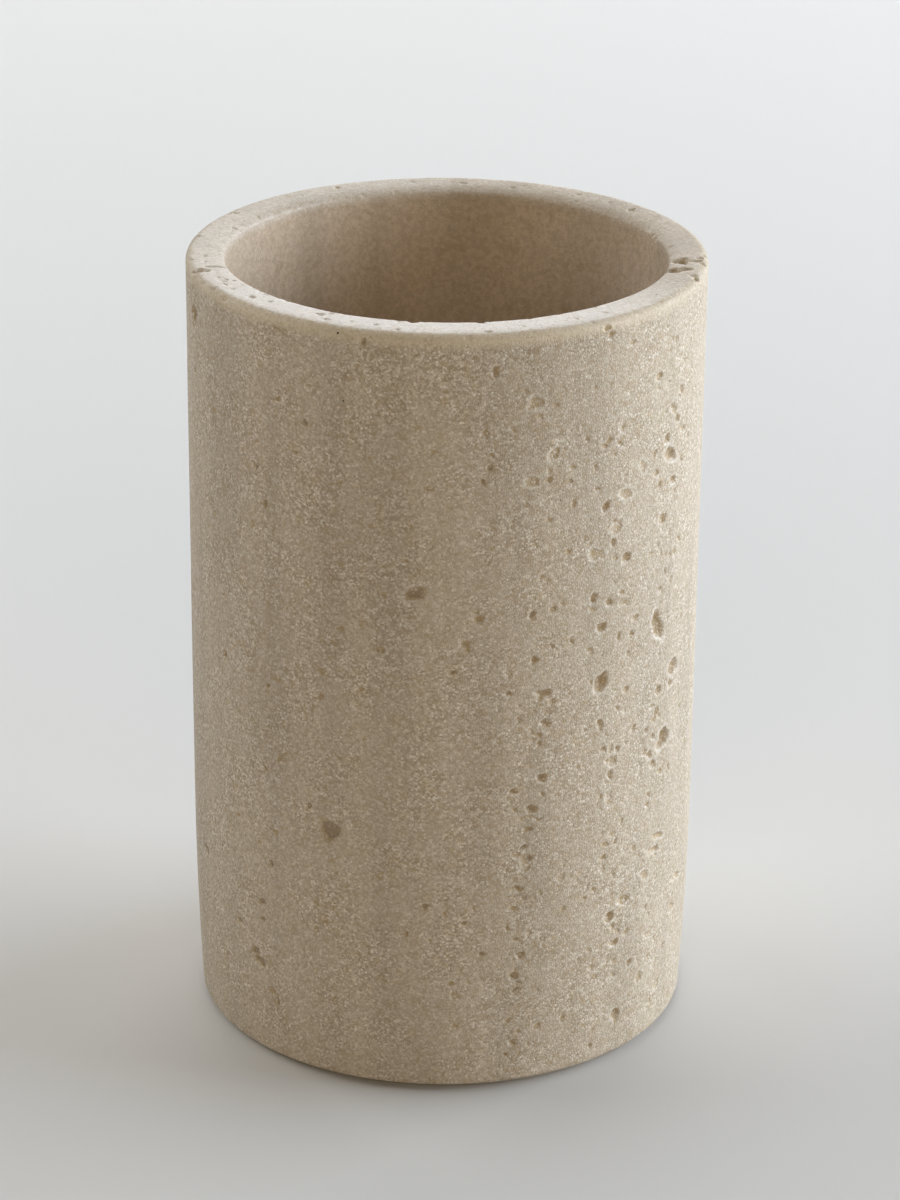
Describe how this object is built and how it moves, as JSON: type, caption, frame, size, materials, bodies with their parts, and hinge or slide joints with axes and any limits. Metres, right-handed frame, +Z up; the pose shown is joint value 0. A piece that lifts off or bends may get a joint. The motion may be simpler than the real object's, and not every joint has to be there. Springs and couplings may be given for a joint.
{
  "type": "bathroom tumbler",
  "caption": "Upright cylindrical bathroom tumbler cast in pitted stone, open at the top, on a soft base pad.",
  "frame": {"origin": "centre of the base pad's underside, on the surface that the tumbler stands on", "axes": "+Z up along the tumbler's axis, -Y towards the pictured side, +X to its right"},
  "size_m": [0.075, 0.075, 0.117],
  "materials": {
    "cast_stone": "sand-textured, pitted, matt",
    "adhesive_film": "translucent film",
    "soft_pad": "matt closed-cell foam"
  },
  "bodies": {
    "root": {"tumbler_body": "cast_stone", "pad_adhesive": "adhesive_film", "base_pad": "soft_pad"}
  },
  "joints": []
}
